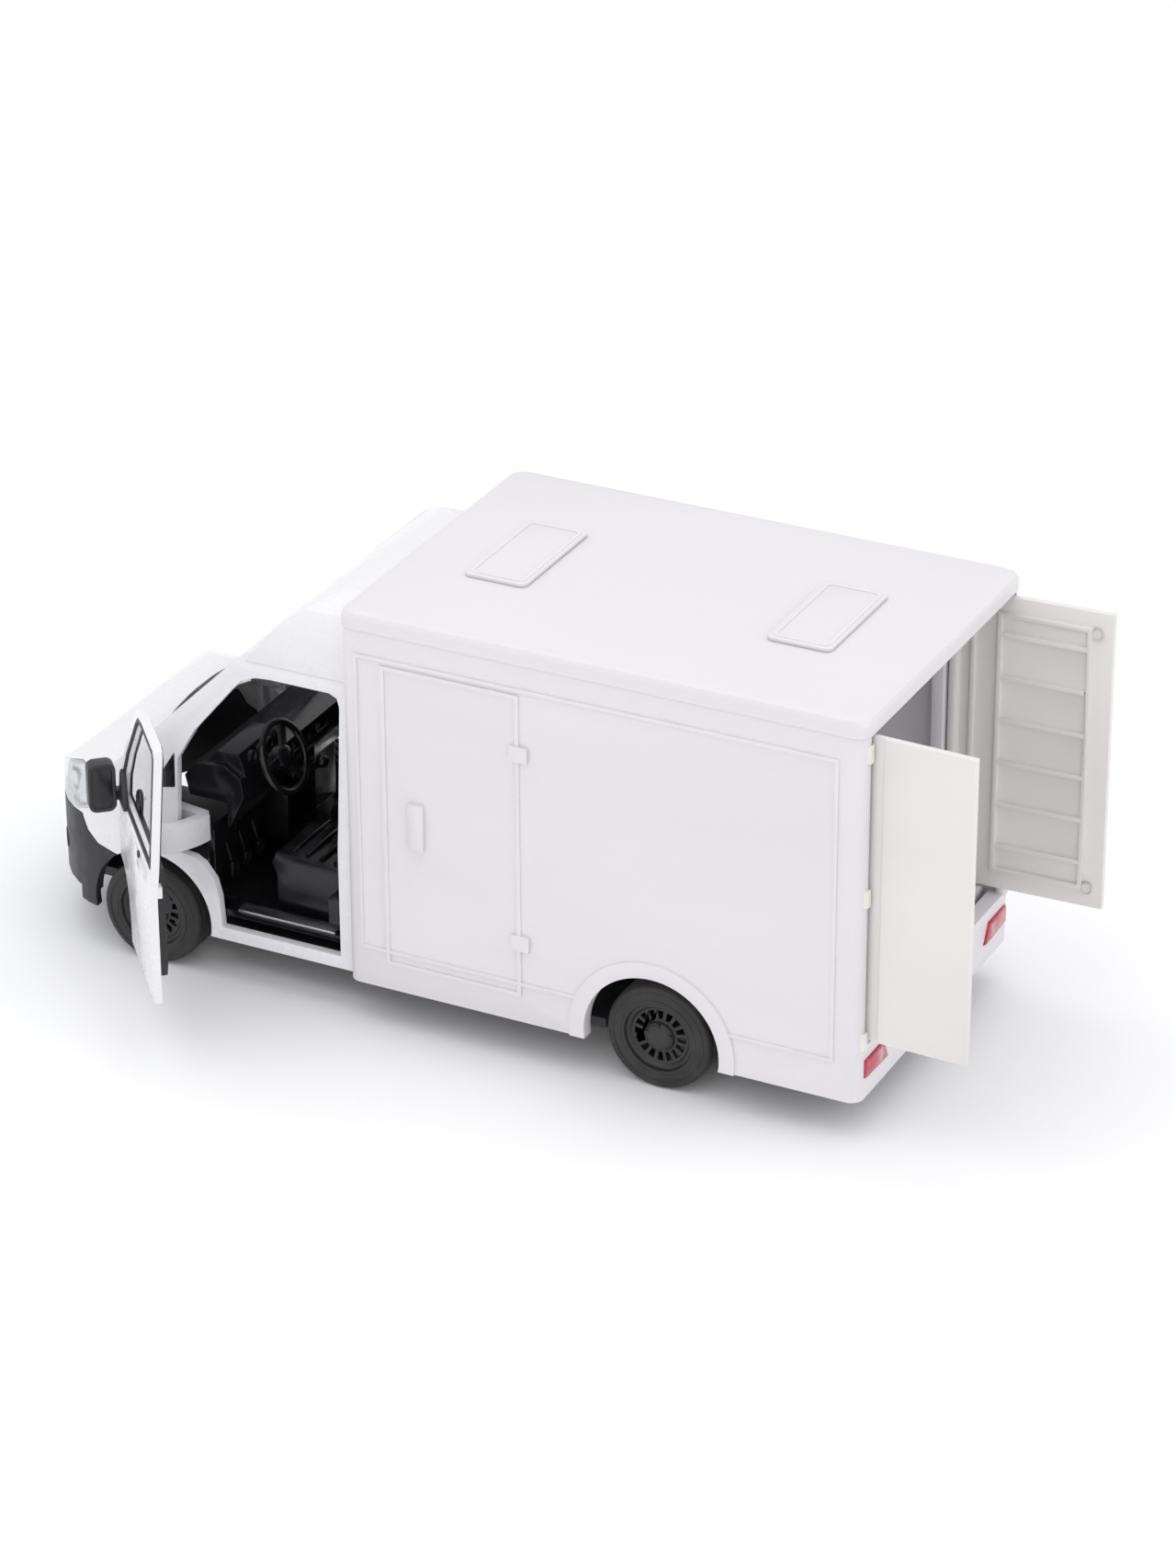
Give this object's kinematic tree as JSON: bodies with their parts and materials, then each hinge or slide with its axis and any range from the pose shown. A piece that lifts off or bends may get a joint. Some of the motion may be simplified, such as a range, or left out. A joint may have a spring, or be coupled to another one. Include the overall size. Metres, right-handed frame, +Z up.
{
  "type": "mail delivery truck",
  "caption": "Toy parcel van with a box body, hinged rear and cab doors, rolling wheels and a pull-back motor, doors shown open.",
  "frame": {"origin": "on the flat underside of the base plate, midway between the two axles, on the van's centre plane", "axes": "+X towards the nose, +Y to the driver's side (left), +Z up"},
  "size_m": [0.1429, 0.074, 0.0622],
  "materials": {
    "cab_paint": "gloss",
    "box_plastic": "satin",
    "rear_door_plastic": "satin",
    "black_plastic": "satin",
    "interior_plastic": "gloss",
    "tyre_rubber": "matte",
    "rim_plastic": "satin",
    "steel": "bright",
    "screen_plastic": "gloss",
    "lamp_clear": "gloss",
    "reflector": "mirror bright",
    "lamp_red": "gloss",
    "mirror_face": "gloss",
    "gear_nylon": "matte"
  },
  "bodies": {
    "truck": {"base_plate": "black_plastic", "base_screws": "steel", "motor_case_lower": "black_plastic", "motor_case_upper": "black_plastic", "cab_shell": "cab_paint", "roof_fairing": "cab_paint", "windscreen": "screen_plastic", "cowl_panel": "black_plastic", "front_bumper": "black_plastic", "front_grille": "black_plastic", "headlight_lens_left": "lamp_clear", "headlight_lens_right": "lamp_clear", "headlight_bowl_left": "reflector", "headlight_bowl_right": "reflector", "cab_tub": "interior_plastic", "dashboard": "interior_plastic", "steering_column": "interior_plastic", "steering_wheel": "interior_plastic", "driver_seat": "interior_plastic", "passenger_seat": "interior_plastic", "gear_lever": "interior_plastic", "sill_plate_left": "steel", "sill_plate_right": "steel", "door_catch_left": "interior_plastic", "door_catch_right": "interior_plastic", "hinge_bracket_left": "cab_paint", "hinge_bracket_right": "cab_paint", "cab_hinge_pin_left": "steel", "cab_hinge_pin_right": "steel", "box_body": "box_plastic", "roof_panel": "box_plastic", "roof_hatch_front": "box_plastic", "roof_hatch_rear": "box_plastic", "tail_light_left": "lamp_red", "tail_light_right": "lamp_red", "rear_hinge_pin_left": "steel", "rear_hinge_pin_right": "steel"},
    "cab_door_left": {"cab_door_left": "cab_paint", "door_lining_left": "interior_plastic", "mirror_housing_left": "black_plastic", "mirror_glass_left": "mirror_face"},
    "cab_door_right": {"cab_door_right": "cab_paint", "door_lining_right": "interior_plastic", "mirror_housing_right": "black_plastic", "mirror_glass_right": "mirror_face"},
    "rear_door_left": {"rear_door_left": "rear_door_plastic"},
    "rear_door_right": {"rear_door_right": "rear_door_plastic"},
    "front_wheels": {"front_axle": "steel", "front_rim_left": "rim_plastic", "front_rim_right": "rim_plastic", "front_tyre_left": "tyre_rubber", "front_tyre_right": "tyre_rubber"},
    "rear_wheels": {"rear_axle": "steel", "rear_rim_left": "rim_plastic", "rear_rim_right": "rim_plastic", "rear_tyre_left": "tyre_rubber", "rear_tyre_right": "tyre_rubber", "axle_pinion": "gear_nylon"},
    "spring_gear": {"spring_gear": "gear_nylon"}
  },
  "joints": [
    {"name": "front_axle_spin", "type": "hinge", "parent": "truck", "child": "front_wheels", "pos_m": [0.0388, 0, 0.0024], "axis": [0, 1, 0], "continuous": true},
    {"name": "rear_axle_spin", "type": "hinge", "parent": "truck", "child": "rear_wheels", "pos_m": [-0.0388, 0, 0.0024], "axis": [0, 1, 0], "continuous": true},
    {"name": "spring_gear_spin", "type": "hinge", "parent": "truck", "child": "spring_gear", "pos_m": [-0.03501, 0, 0.00375], "axis": [0, 1, 0], "continuous": true},
    {"name": "cab_door_left_hinge", "type": "hinge", "parent": "truck", "child": "cab_door_left", "pos_m": [0.0424, 0.0185, 0.016], "axis": [0, 0, -1], "range_deg": [-49, 6]},
    {"name": "cab_door_right_hinge", "type": "hinge", "parent": "truck", "child": "cab_door_right", "pos_m": [0.0424, -0.0185, 0.016], "axis": [0, 0, 1], "range_deg": [0, 55]},
    {"name": "rear_door_left_hinge", "type": "hinge", "parent": "truck", "child": "rear_door_left", "pos_m": [-0.0607, 0.0223, 0.03], "axis": [0, 0, -1], "range_deg": [-92, 0]},
    {"name": "rear_door_right_hinge", "type": "hinge", "parent": "truck", "child": "rear_door_right", "pos_m": [-0.0607, -0.0223, 0.03], "axis": [0, 0, 1], "range_deg": [-92, 0]}
  ],
  "couplings": [
    {"joint": "spring_gear_spin", "follows": "rear_axle_spin", "ratio": -0.57143}
  ]
}
